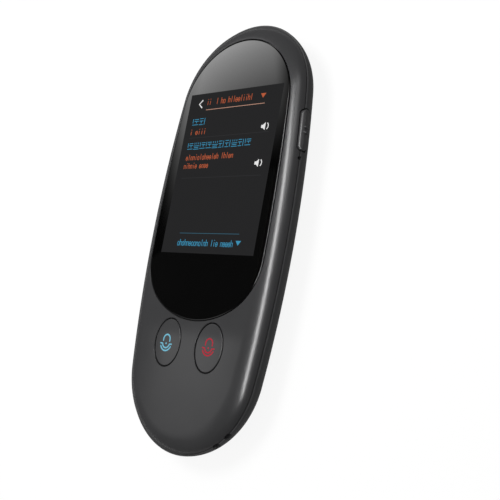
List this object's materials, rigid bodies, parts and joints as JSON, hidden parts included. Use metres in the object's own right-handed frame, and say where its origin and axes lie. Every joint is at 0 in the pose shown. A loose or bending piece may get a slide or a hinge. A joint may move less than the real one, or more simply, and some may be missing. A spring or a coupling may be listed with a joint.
{
  "type": "handheld translator",
  "caption": "Slim oval handheld translator: colour screen under black glass, paired oval talk buttons, side rocker, power key, lanyard eyelet, charging port and rear speaker.",
  "frame": {"origin": "under the body's centre, on the plane the flat back lies on", "axes": "+X to the side with the volume rocker, +Y to the top end above the screen, +Z out of the screen"},
  "size_m": [0.054, 0.1258, 0.0114],
  "materials": {
    "housing": "satin dark grey moulding",
    "key": "satin dark grey moulding",
    "glass": "gloss, printed black behind the border",
    "adhesive": "matt black tape",
    "foam": "matt foam",
    "screen": "display layers behind glass",
    "plastic": "white moulding",
    "frame": "satin",
    "board": "green circuit board",
    "steel": "satin",
    "chip": "black moulding",
    "flex": "amber film",
    "battery": "laminated foil",
    "rubber": "matt",
    "brass": "plated"
  },
  "bodies": {
    "housing": {"front_housing": "housing", "back_cover": "housing", "mid_frame": "frame", "speaker_frame": "frame", "antenna_film": "flex", "display_flex": "flex", "volume_flex": "flex", "power_flex": "flex", "battery_lead": "flex", "antenna_cable": "rubber", "bottom_microphone_boot": "rubber", "top_microphone_boot": "rubber", "cover_glass": "glass", "glass_adhesive": "adhesive", "display_gasket": "foam", "battery_pad": "foam", "speaker_gasket": "foam", "display_panel": "screen", "display_backlight": "plastic", "battery_connector": "plastic", "display_connector": "plastic", "volume_connector": "plastic", "power_connector": "plastic", "left_talk_switch": "steel", "right_talk_switch": "steel", "rocker_pin": "steel", "volume_up_switch": "steel", "volume_down_switch": "steel", "reset_switch": "steel", "volume_bracket": "steel", "power_switch": "steel", "power_bracket": "steel", "processor_shield": "steel", "radio_shield": "steel", "speaker_magnet": "steel", "speaker_mesh": "steel", "bottom_microphone": "steel", "top_microphone": "steel", "usb_c_shell": "steel", "board_screw_1": "steel", "board_screw_2": "steel", "board_screw_3": "steel", "board_screw_4": "steel", "frame_screw_1": "steel", "frame_screw_2": "steel", "frame_screw_3": "steel", "frame_screw_4": "steel", "main_board": "board", "processor_chip": "chip", "radio_chip": "chip", "speaker_cone": "chip", "usb_c_tongue": "chip", "antenna_connector": "brass", "left_speaker_contact": "brass", "right_speaker_contact": "brass", "battery": "battery"},
    "left_talk_button": {"left_talk_button": "key"},
    "right_talk_button": {"right_talk_button": "key"},
    "volume_rocker": {"volume_rocker": "key"},
    "power_key": {"power_key": "key"}
  },
  "joints": [
    {"name": "left_talk_press", "type": "slide", "parent": "housing", "child": "left_talk_button", "axis": [0, 0, -1], "range_m": [0, 0.00025], "stiffness_N_per_m": 600},
    {"name": "right_talk_press", "type": "slide", "parent": "housing", "child": "right_talk_button", "axis": [0, 0, -1], "range_m": [0, 0.00025], "stiffness_N_per_m": 600},
    {"name": "volume_rock", "type": "hinge", "parent": "housing", "child": "volume_rocker", "pos_m": [0.0227, 0.02864, 0.00777], "axis": [0, 0, 1], "range_deg": [-2.5, 2.5], "stiffness_Nm_per_rad": 0.02},
    {"name": "power_press", "type": "slide", "parent": "housing", "child": "power_key", "axis": [0.9964, -0.0844, 0], "range_m": [0, 0.0002], "stiffness_N_per_m": 600}
  ]
}
